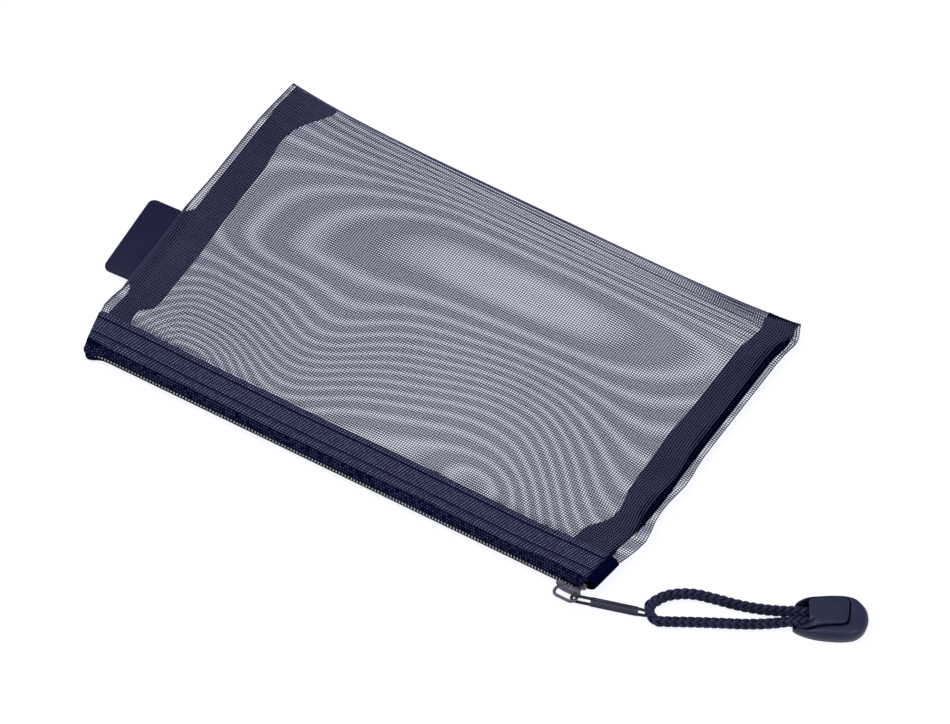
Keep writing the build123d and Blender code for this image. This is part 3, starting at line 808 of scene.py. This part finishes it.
def beat(x, y):
    """Threads by which the layers are out of step, seen at a place of the upper panel."""
    ridge_y = 25 + 0.03 * x - 17 * ease((-15 - x) / 55)
    ridge = -0.5 * np.abs((x - 5) / 45) ** 2.8
    sway = 7 * hill(x, 29, 21) - 11 * hill(x, -30, 17) - 3 * ease((15 - x) / 40)
    turn_down = 31 * ease((x - 38) / 46) * ease((ridge_y + 2 - y) / 75)
    drawn_y = y - sway * ease((ridge_y + 2 - y) / 46) + turn_down
    count = 13 - 4 * ease((-66 - x) / 16)
    near = -(count + ridge) * ease((ridge_y - drawn_y) / (ridge_y + 47))
    beyond = np.clip(drawn_y - ridge_y, 0, None) / (56 - ridge_y)
    far = -(7.5 + ridge) * beyond**2.75 - beyond**6
    dimples = -1.3 * hill(x, 38, 14) * hill(y, -42, 9) - 3.7 * hill(x, -60, 15) * hill(y, -50, 16)
    return ridge + near + far + dimples


print(f"{-beat(0.0, -45.0):.1f} threads out of step beside the band")

# %% Lay the threads
PITCH = 0.78
ALONG_R = 0.128
ACROSS_R = 0.13
ACROSS_LIFT = 0.16
HEM_R = 0.13
CREASE_STEP = 0.5
CREASE_LINES = 2
THREAD_STEP = 4.0
BEND_Y = 46.0
BEND_STEP = 1.25
SIGHT_PASSES = 6
PROFILE_HALF = 70.0
PROFILE_STEPS = 1401

profile_y = np.linspace(-PROFILE_HALF, PROFILE_HALF, PROFILE_STEPS)
profile_z = upper_height(np.zeros_like(profile_y), np.minimum(profile_y, FAR_Y))
slope_length = np.hypot(np.gradient(profile_y), np.gradient(profile_z))
cloth_y = np.cumsum(slope_length)


def cloth_at(y):
    """Length of upper cloth up to y."""
    return np.interp(y, profile_y, cloth_y)


def drawn_in(x, y):
    """Place of a thread near the far crease, which it follows."""
    return y + (far_edge(x) - FAR_Y) * ease((y - 8) / (FAR_Y - 8))


def panel_lines(height, x_share, y):
    """Points of a panel, by its height, at shares of its half width and distances from the zip."""
    x_share, y = np.broadcast_arrays(np.asarray(x_share, float), y)
    x = x_share * side_reach(y, x_share)
    y = drawn_in(x, y)
    return bundle(x, y, height(x, y))


def covered_by(x, y):
    """Place of the upper panel that lies over a place of the lower one along the line of sight."""
    upper_x, upper_y = x, y
    for _ in range(SIGHT_PASSES):
        gap = upper_height(upper_x, np.minimum(upper_y, far_edge(upper_x))) - lower_height(x, y)
        upper_x, upper_y = x - SIGHT_X * gap, y - SIGHT_Y * gap
    return upper_x, upper_y


def lower_step(x, y):
    """Count of lower threads up to a place, so that the layers beat as they should."""
    upper_x, upper_y = covered_by(x, y)
    rise = upper_height(upper_x, np.minimum(upper_y, far_edge(upper_x))) - SIGHT_Z
    return cloth_at(upper_y) / PITCH + beat(upper_x + SIGHT_X * rise, upper_y + SIGHT_Y * rise)


thread_count = np.arange(math.ceil(cloth_at(HEM_Y) / PITCH), cloth_at(FAR_Y) / PITCH)
thread_y = np.interp(thread_count * PITCH, cloth_y, profile_y)
long_y = [np.arange(HEM_Y, BEND_Y, THREAD_STEP), np.arange(BEND_Y, FAR_Y, BEND_STEP), [FAR_Y]]
long_y = np.concatenate(long_y)
thread_x = (np.arange(SIDE / PITCH) + 0.5) * PITCH / SIDE
print(len(thread_y), "threads along the zip,", 2 * len(thread_x), "across it")

# %% Upper panel in two halves


def net_piece(name, along, across, hems):
    """Threads of both directions, the hems and the crease as one object."""
    parts = [tubes(along, ALONG_R, 4), tubes(across + np.array([0, 0, ACROSS_LIFT]), ACROSS_R, 4)]
    parts += [tubes(line[None], HEM_R, 5) for line in hems]
    return make_piece(name, *merged(parts), "net_thread")


NET_SAMPLES = 24
LEFT_RIGHT = (("left", -1), ("right", 1))
for side, sign in LEFT_RIGHT:
    samples = sign * np.linspace(0, 1, NET_SAMPLES)
    along = panel_lines(upper_height, samples, thread_y[:, None])
    across = panel_lines(upper_height, sign * thread_x[:, None], long_y)
    hems = [panel_lines(upper_height, sign, long_y)]
    for step in np.arange(CREASE_LINES) * CREASE_STEP:
        hems.append(panel_lines(upper_height, samples, FAR_Y - step))
    net = net_piece(f"mesh_upper_{side}", along, across, hems)
    settle(net, "mesh_upper_panel", side=side)

# %% Lower panel
LOWER_COLUMNS = 47
LOWER_ROWS = 500
LOWER_FINE = 801

sample_y = np.linspace(HEM_Y, FAR_Y, LOWER_ROWS)
columns = []
for share in np.linspace(-1, 1, LOWER_COLUMNS):
    place = panel_lines(lower_height, share, sample_y)
    columns.append((place, lower_step(place[:, 0], place[:, 1])))
first = math.ceil(min(step[0] for _, step in columns))
last = math.floor(max(step[-1] for _, step in columns))
steps = np.arange(first, last + 1)
lower_along = []
for place, step in columns:
    lower_along.append(bundle(*[np.interp(steps, step, place[:, axis]) for axis in range(3)]))
both_sides = np.concatenate([-thread_x[::-1], thread_x])
fine_share = np.linspace(-1, 1, LOWER_FINE)
lower_across = []
for y in long_y:
    place = panel_lines(lower_height, fine_share, y)
    upper_x, upper_y = covered_by(place[:, 0], place[:, 1])
    share = np.interp(both_sides, upper_x / side_reach(upper_y, upper_x), fine_share)
    lower_across.append(panel_lines(lower_height, share, y))
hems = [panel_lines(lower_height, sign, long_y) for _, sign in LEFT_RIGHT]
lower_net = net_piece("mesh_lower", np.stack(lower_along, axis=1), np.stack(lower_across, axis=1), hems)
settle(lower_net, "mesh_lower_panel")
print(len(steps), "threads along the lower panel")

# %% [markdown]
# ## Side bindings
# Inside each side seam a twill tape is folded round the raw edges of the net and sewn down. Its inner
# edge isn't straight: the tape flares where it is caught in the far corner and under the band. It could
# be pulled into shape by hand, but short formulas for its edges also tell the stitches where to lie. A
# closed strip fills the space between the edges.

# %% Twill tapes inside the seams
BINDING_T = 0.9
BINDING_Z = 3.05
BINDING_WIDTH = 10.0
BINDING_NEAR = -44.5
BINDING_FAR = 58.4
BINDING_SHORT = 0.3
BINDING_EDGE = 0.2
SEWN_AT = 7.6


def binding_edges(y, side):
    """Inner and outer edge of a binding."""
    if side == "left":
        inner = 78.6 - 6.3 * ease((y - 43) / 15) + 1.1 * hill(y, 38, 6) - 1.2 * hill(y, -15, 22)
        inner = inner + 3.6 * ease((-34.5 - y) / 4) - 1.2 * ease((-40 - y) / 5)
        outer = 87.9 - 0.5 * ease((y - 45) / 12) + 2.3 * ease((3 - y) / 3) * ease((y + 33) / 3)
        outer = outer + 0.7 * ease((-34 - y) / 8)
    else:
        inner = 78.4 + 1.5 * hill(y, 50, 5) + 1.7 * hill(y, -29, 6.5)
        inner = inner - 3.9 * ease((-32 - y) / 9) - 0.6 * hill(y, 2, 14)
        outer = 89.1 + 1.0 * hill(y, 49, 4) + 0.6 * hill(y, -18, 14)
        outer = outer - 1.5 * ease((-30 - y) / 11) - 0.8 * ease((y - 53) / 6)
    return inner, outer


def binding_height(y):
    """Height of a binding's upper face, which sinks towards the far corner."""
    return BINDING_Z - 1.0 * ease((y - 50) / 9)


def binding_surface(side, sign):
    """Upper face of a binding, from its inner to its outer edge."""

    def surface(y, share):
        inner, outer = binding_edges(y, side)
        x = sign * (inner + share / BINDING_WIDTH * (outer - inner))
        stretched = (y - BINDING_NEAR) * (far_edge(x) - BINDING_SHORT - BINDING_NEAR)
        y = BINDING_NEAR + stretched / (BINDING_FAR - BINDING_NEAR)
        ripple = 0.1 * np.sin(y / 5.3) * np.sin(math.pi * share / BINDING_WIDTH)
        return bundle(x, y, binding_height(y) + ripple - 0.15 * hill(share, SEWN_AT, 0.45))

    return surface


binding_shares = edged(BINDING_WIDTH, BINDING_EDGE, 26)
binding_runs = np.linspace(BINDING_NEAR, BINDING_FAR, 120)
for side, sign in LEFT_RIGHT:
    surface = binding_surface(side, sign)
    name = f"side_binding_{side}_tape"
    tape = cloth_strip(name, surface, binding_runs, binding_shares, BINDING_T, "binding_twill")
    settle(tape, f"side_binding_{side}")

# %% [markdown]
# ## Stitches
# Sewn lines are short lengths of thread that come up, lie on the cloth and go down again. Each stitch
# is a small arched tube whose ends dip below the surface, repeated along the row. A texture would be
# cheaper, but it can't catch the light from every side as thread does.

# %% One row of stitches
STITCH_PITCH = 2.7
STITCH_LENGTH = 2.2
STITCH_R = 0.2
STITCH_ARCH = 0.3
STITCH_DIP = 0.2
STITCH_LIFT = 0.02


def stitch_lines(starts, direction):
    """Arched lines of stitches that begin at the given points."""
    share = np.linspace(0, 1, 7)
    run = share[:, None] * np.asarray(direction, float) * STITCH_LENGTH
    run[:, 2] += STITCH_ARCH * np.sin(math.pi * share) - STITCH_DIP
    return np.asarray(starts)[:, None, :] + run[None]


for side, sign in LEFT_RIGHT:
    low, high = box_mm(f"side_stitching_{side}")
    start_y = np.arange(low[1], high[1] - STITCH_LENGTH, STITCH_PITCH)
    inner, outer = binding_edges(start_y, side)
    start_x = sign * (inner + SEWN_AT / BINDING_WIDTH * (outer - inner))
    start_z = binding_height(start_y) + STITCH_LIFT
    lines = stitch_lines(bundle(start_x, start_y, start_z), (0, 1, 0))
    stitches = tube_piece(f"side_stitches_{side}", lines, STITCH_R, 6, "sewing_thread")
    settle(stitches, f"side_stitching_{side}")
    print(len(lines), "stitches")

# %% [markdown]
# ## Bands, zip tapes and coil
# Along the front a ribbed band covers the edge of the net on each face. Below it the zip tape turns
# down to the coil, a nylon wire wound in a flat helix on each side. The upper halves are cut in the
# middle, one for each side of the mouth. The lower halves are the same shapes turned over.

# %% Ribbed bands
band_low, band_high = box_mm("zip_band_upper")
FRONT_Z = band_high[2] + 0.15
MID_Z = FRONT_Z / 2
BAND_BACK = band_high[1]
BAND_WIDTH = band_high[1] - band_low[1]
BAND_DROP = 0.8
BAND_T = 0.35
BAND_LEFT = -92.3
BAND_CUT = -90.8
BAND_RIGHT = 91.7
BAND_EDGE = 0.15
CLOTH_STEP = 0.7
STITCH_INSETS = (2.5, 8.2)


def end_turn(run):
    """x of a place along a tape, and how far it has fallen where it turns down at either end of the zip."""
    start = np.where(run < 0, 88.8, 86.6)
    out = np.where(run < 0, 1.6, 3.9)
    length = np.where(run < 0, 3.5, 5.1)
    angle = np.clip((np.abs(run) - start) / length, 0, 1) * math.pi / 2
    return np.sign(run) * (np.minimum(np.abs(run), start) + out * np.sin(angle)), 1 - np.cos(angle)


def turned(points, half):
    """Points of an upper half, turned over for the lower one."""
    if half == "lower":
        points = points * np.array([1, 1, -1]) + np.array([0, 0, FRONT_Z])
    return points


def band_surface(half):
    """Outer face of a band, dented along its two rows of stitches."""

    def surface(run, inset):
        x, fall = end_turn(run)
        reach = x * (1 - np.where(x < 0, 0.027, 0.014) * (inset / BAND_WIDTH) * ease((np.abs(x) - 78) / 10))
        y = BAND_BACK - BAND_DROP - inset + 0.2 * np.sin(x / 17) + 0.9 * ease((x - 55) / 30)
        dent = sum(0.25 * hill(inset, stitch, 0.4) for stitch in STITCH_INSETS)
        curl = 0.25 * hill(inset, 0, 0.6) + 0.25 * hill(inset, BAND_WIDTH, 0.6)
        z = band_high[2] - dent - curl + 0.06 * np.sin(x / 6.5)
        z = z - fall * (z - MID_Z - 0.05)
        return turned(bundle(reach, y, z), half)

    return surface


band_insets = edged(BAND_WIDTH, BAND_EDGE, 42)
halves = [
    ("upper", "left", "upper_left_piece", BAND_LEFT, 0.0),
    ("upper", "right", "upper_right_piece", 0.0, BAND_RIGHT),
    ("lower", None, "lower_piece", BAND_LEFT, BAND_RIGHT),
]


def tape_samples(x_from, x_to):
    """Places along a band or tape."""
    return np.linspace(x_from, x_to, 1 + int((x_to - x_from) / CLOTH_STEP))


for half, side, label, x_from, x_to in halves:
    samples = tape_samples(max(x_from, BAND_CUT), x_to)
    band = cloth_strip(f"zip_band_{label}", band_surface(half), samples, band_insets, BAND_T, "band_ribs")
    settle(band, f"zip_band_{half}", side=side)

# %% Two rows of stitches on each band
STITCH_HALF = 84.0
STITCH_START = 0.3
BAND_LIFT = np.array([0, 0, 0.08])

for half, side, label, x_from, x_to in halves:
    first, last = max(x_from, -STITCH_HALF) + STITCH_START, min(x_to, STITCH_HALF) - STITCH_LENGTH
    starts = np.arange(first, last, STITCH_PITCH)
    rows = []
    for inset in STITCH_INSETS:
        rows.append(band_surface("upper")(starts, np.full_like(starts, inset)) + BAND_LIFT)
    lines = turned(stitch_lines(np.concatenate(rows), (1, 0, 0)), half)
    stitches = tube_piece(f"band_stitches_{label}", lines, STITCH_R, 6, "sewing_thread")
    settle(stitches, f"band_stitching_{half}", side=side)

# %% Zip tapes
TAPE_T = 0.45
TAPE_BACK = -50.5
TAPE_TURN = -56.6
TAPE_FRONT = -59.3
TAPE_LOW = 3.95


def front_bulge(x):
    """How far the front of the zip stands out at its left end."""
    return -2.0 * hill(x, -88, 4.2)


def tape_surface(half):
    """Outer face of a zip tape: flat under the band, then round the front edge."""
    top = band_high[2] - BAND_T - 0.02

    def surface(run, across):
        x, fall = end_turn(run)
        angle = np.clip((across - (TAPE_TURN - TAPE_BACK)) / -4.0, 0, 1) * math.pi / 2
        y = np.maximum(TAPE_BACK + across, TAPE_TURN) + (TAPE_FRONT - TAPE_TURN) * np.sin(angle)
        z = TAPE_LOW + (top - TAPE_LOW) * np.cos(angle) ** 0.8
        share = (TAPE_BACK - y) / (TAPE_BACK - TAPE_FRONT)
        rounding = np.where(x < 0, 1.2 * ease((-86.5 - x) / 3.9), 2.6 * ease((x - 84.5) / 5.5)) ** 2
        y = y + front_bulge(x) * share + rounding * share**2
        z = z - fall * (z - MID_Z - 0.25)
        inset = BAND_BACK - BAND_DROP - y
        slant = 0.022 * ease(inset / 9) + 0.007 * ease((inset - 10) / 3)
        drawn = np.where(x < 0, slant, 0.008 + 0.008 * share) * ease((np.abs(x) - 78) / 10)
        x = x * (1 - drawn) - np.where(x < 0, -1.6, 0.5) * fall
        return turned(bundle(x, y, z), half)

    return surface


tape_runs = -np.concatenate([np.linspace(0, 5.9, 8), np.linspace(6.1, 10.1, 18)])
for half, side, label, x_from, x_to in halves:
    samples = tape_samples(x_from, x_to)
    tape = cloth_strip(f"zip_tape_{label}", tape_surface(half), samples, tape_runs, TAPE_T, "zip_weave")
    settle(tape, f"zip_tape_{half}", side=side)

# %% Wound coil and its core
COIL_PITCH = 1.05
COIL_FROM = -85.2
COIL_TO = 86.0
COIL_HALF_HEIGHT = 0.45
COIL_HALF_DEPTH = 0.5
COIL_R = 0.22
COIL_STEPS = 16
CORE_R = 0.24
COIL_Y = -59.3
CHAIN_Z = MID_Z + 0.5
HALF_CHAIN = 0.4
# How far round the front of each lower loop the painted highlight reaches.
GLINT_LIMIT = 1.14
SPLAY = 0.75
CORE_STEPS = 60


def coil_splay(x):
    """Lift of a coil where the slider parts the two."""
    return SPLAY * np.clip((x - 81.5) / 2.5, 0, 1)


def coil_line(x_from, x_to, way):
    """Line of a coil, a flat helix, above the chain for way 1 and below it for way -1."""
    turns = (x_to - x_from) / COIL_PITCH
    turn = np.linspace(0, turns, int(turns * COIL_STEPS) + 1)
    x = x_from + COIL_PITCH * turn
    angle = 2 * math.pi * (turn + (x_from - COIL_FROM) / COIL_PITCH + (0.5 if way < 0 else 0.0))
    y = COIL_Y + front_bulge(x) + COIL_HALF_DEPTH * np.sin(angle)
    z = CHAIN_Z + way * (HALF_CHAIN + coil_splay(x) + COIL_HALF_HEIGHT * np.cos(angle))
    return bundle(x, y, z)


def paint_crest_glints(coil):
    """Second material, a painted highlight, for the patch at the front of each lower loop that faces the
    light.
    """
    coil.data.materials.append(finishes["painted_glint_nylon"])
    centres = np.zeros(3 * len(coil.data.polygons))
    coil.data.polygons.foreach_get("center", centres)
    x, y, z = centres.reshape(-1, 3).T / MM
    out_y = (y - COIL_Y - front_bulge(x)) / (COIL_HALF_DEPTH + COIL_R)
    out_z = (z - CHAIN_Z + (HALF_CHAIN + coil_splay(x))) / (COIL_HALF_HEIGHT + COIL_R)
    glinting = (out_z - out_y > GLINT_LIMIT) & (x > COIL_FROM + 1)
    coil.data.polygons.foreach_set("material_index", glinting.astype(int))


for half, side, label, x_from, x_to in halves:
    x_from, x_to = max(x_from, COIL_FROM), min(x_to, COIL_TO)
    way = -1 if half == "lower" else 1
    wire = tubes(coil_line(x_from, x_to, way)[None], COIL_R, 6, reference=(1, 0, 0))
    core_x = np.linspace(x_from, x_to, CORE_STEPS)
    core_z = CHAIN_Z + way * (HALF_CHAIN + coil_splay(core_x))
    core = bundle(core_x, COIL_Y + front_bulge(core_x), core_z)
    parts = merged([wire, tubes(core[None], CORE_R, 8)])
    coil = make_piece(f"zip_coil_{label}", *parts, "coil_nylon")
    if half == "lower":
        paint_crest_glints(coil)
    settle(coil, f"zip_coil_{half}", side=side)
    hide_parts(f"zip_core_{half}")

# %% [markdown]
# ## Label tab
# A soft rubber tab is caught in the left seam. It has rounded outer corners and a soft edge all round, it
# leans a little, and it is bare. A Bevel modifier on a plate would do as well. Rings of one rounded
# outline, drawn in at the top and the bottom, give the soft edge without one.

# %% Soft tab
TAB_LEAN = math.radians(3.15)
TAB_MIDDLE = np.array([-94.1, -15.2])
TAB_HALF = np.array([5.8, 15.2])
TAB_ROUND = 2.2
TAB_STEPS = 96

tab_low, tab_high = box_mm("label_tab")
turn = whole_turn(TAB_STEPS)
circle = bundle(np.cos(turn), np.sin(turn))
tab_line = np.sign(circle) * (TAB_HALF - TAB_ROUND) + TAB_ROUND * circle
lean = np.array([[math.cos(TAB_LEAN), -math.sin(TAB_LEAN)], [math.sin(TAB_LEAN), math.cos(TAB_LEAN)]])
tab_line = TAB_MIDDLE + tab_line @ lean.T
toward = unit(TAB_MIDDLE - tab_line)
tab_rings = []
for inset, rise in ((0.45, 0.0), (0.12, 0.1), (0.0, 0.3), (0.0, 0.7), (0.12, 0.9), (0.45, 1.0)):
    height = tab_low[2] + rise * (tab_high[2] - tab_low[2])
    tab_rings.append(np.column_stack([tab_line + inset * toward, np.full(len(tab_line), height)]))
tab = make_piece("label_tab_soft", *ring_stack(tab_rings), "tab_rubber")
settle(tab, "label_tab")

# %% [markdown]
# ## Slider and link
# The slider is a small casting: a front plate and a back plate joined by a post, and lugs that hold the
# wire bail. The link is one bent wire that stands on edge, narrower where the cord hides it, and a crimped
# sleeve holds its two rails. Sculpting would leave such small parts uneven, so they are stacked rings and
# a tube. The bail is already the right shape, so it keeps its solid.

# %% Slider casting
PLATE_STEPS = 48
PLATE_INSET = 0.35
PLATE_T = 1.2
BACK_T = 0.7


def casting(centre, half, layers, square=0.55):
    """Block of upright rounded rectangles, in layers of (place from front to back, share of its size)."""
    turn = whole_turn(PLATE_STEPS)
    x = np.sign(np.cos(turn)) * np.abs(np.cos(turn)) ** square
    z = np.sign(np.sin(turn)) * np.abs(np.sin(turn)) ** square
    rings = []
    for y, share in layers:
        wide, high = half[0] * share, half[1] * share
        rings.append(bundle(centre[0] + wide * x, np.full(PLATE_STEPS, y), centre[1] + high * z))
    return ring_stack(rings)


slider_low, slider_high = box_mm("slider_body")
front = slider_low[1] + PLATE_INSET
rear = slider_high[1]
channel = (front + PLATE_T, rear - BACK_T)
plate = [(channel[0], 0.96), (front + 0.9, 1.0), (front + 0.25, 1.0), (front, 0.9)]
back = [(rear, 0.9), (rear - 0.2, 1.0), (channel[1], 1.0)]
post = [(rear - 0.5, 1.0), (front + 0.6, 1.0)]
crown = [(front + 1.1, 0.75), (front + 0.8, 1.0), (front + 0.1, 0.92), (front - 0.3, 0.6)]
slider = make_piece("slider_casting", *merged([
    casting((82.9, 3.25), (3.9, 1.35), plate),
    casting((83.0, 3.0), (4.0, 1.6), back),
    casting((85.0, 3.0), (1.2, 0.35), post),
    casting((80.2, 4.3), (1.55, 1.15), crown, square=0.8),
    casting((82.3, 4.1), (1.1, 0.8), crown[:3], square=0.7),
    casting((86.3, 3.1), (0.7, 1.0), crown, square=0.8),
]), "bright_paint", sharp=True)
settle(slider, "slider_body", body="slider")
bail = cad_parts["slider_bail"]
bail.data.materials.clear()
bail.data.materials.append(finishes["bright_paint"])
print(f"channel for the coil from {channel[0]:.2f} to {channel[1]:.2f} mm")

# %% Wire link
PIVOT = np.array([85.2, -63.5, 3.0])
LINK_ANGLE = math.radians(18.7)
LINK_TILT = math.asin(1.05 / 24.0)
LINK_R = 0.5
LINK_CORNERS = [
    (0.0, 0.0), (0.3, 1.0), (1.3, 1.38), (5.0, 1.38), (12.0, 1.38), (20.0, 1.36), (22.6, 1.1),
    (24.6, 0.7), (25.3, 0.0), (24.6, -0.7), (22.6, -1.1), (20.0, -1.36), (12.0, -1.38), (5.0, -1.38),
    (1.3, -1.38), (0.3, -1.0),
]

link_flat = np.array([math.cos(LINK_ANGLE), math.sin(LINK_ANGLE), 0.0])
link_ahead = math.cos(LINK_TILT) * link_flat - math.sin(LINK_TILT) * np.array([0.0, 0.0, 1.0])
link_side = np.array([-math.sin(LINK_ANGLE), math.cos(LINK_ANGLE), 0.0])
link_up = np.cross(link_ahead, link_side)
link_loop = smooth_loop(LINK_CORNERS, 6)
link_loop = np.concatenate([link_loop, link_loop[:2]])
link_line = PIVOT + link_loop[:, :1] * link_ahead + link_loop[:, 1:] * link_up
link = tube_piece("pull_link_wire", link_line[None], LINK_R, 10, "wire_paint", reference=link_side)
settle(link, "pull_link", body="pull_link")

# %% Crimped sleeve
SLEEVE_FROM = 5.8
SLEEVE_LENGTH = 14.4
SLEEVE_SECTION = [
    (2.0, 0.0), (1.9, 0.36), (1.65, 0.57), (1.38, 0.63), (1.1, 0.55), (0.85, 0.44), (0.3, 0.42),
    (-0.3, 0.42), (-0.85, 0.44), (-1.1, 0.55), (-1.38, 0.63), (-1.65, 0.57), (-1.9, 0.36), (-2.0, 0.0),
]

section = np.array(SLEEVE_SECTION + [(up, -side) for up, side in SLEEVE_SECTION[-2:0:-1]])
sleeve_rings = []
for run, share in ((0.0, 0.9), (0.25, 1.0), (SLEEVE_LENGTH - 0.25, 1.0), (SLEEVE_LENGTH, 0.9)):
    middle = PIVOT + (SLEEVE_FROM + run) * link_ahead
    sleeve_rings.append(middle + share * (section[:, :1] * link_up + section[:, 1:] * link_side))
sleeve = make_piece("link_sleeve_crimped", *ring_stack(sleeve_rings), "wire_paint", sharp=True)
settle(sleeve, "link_sleeve", body="pull_link")
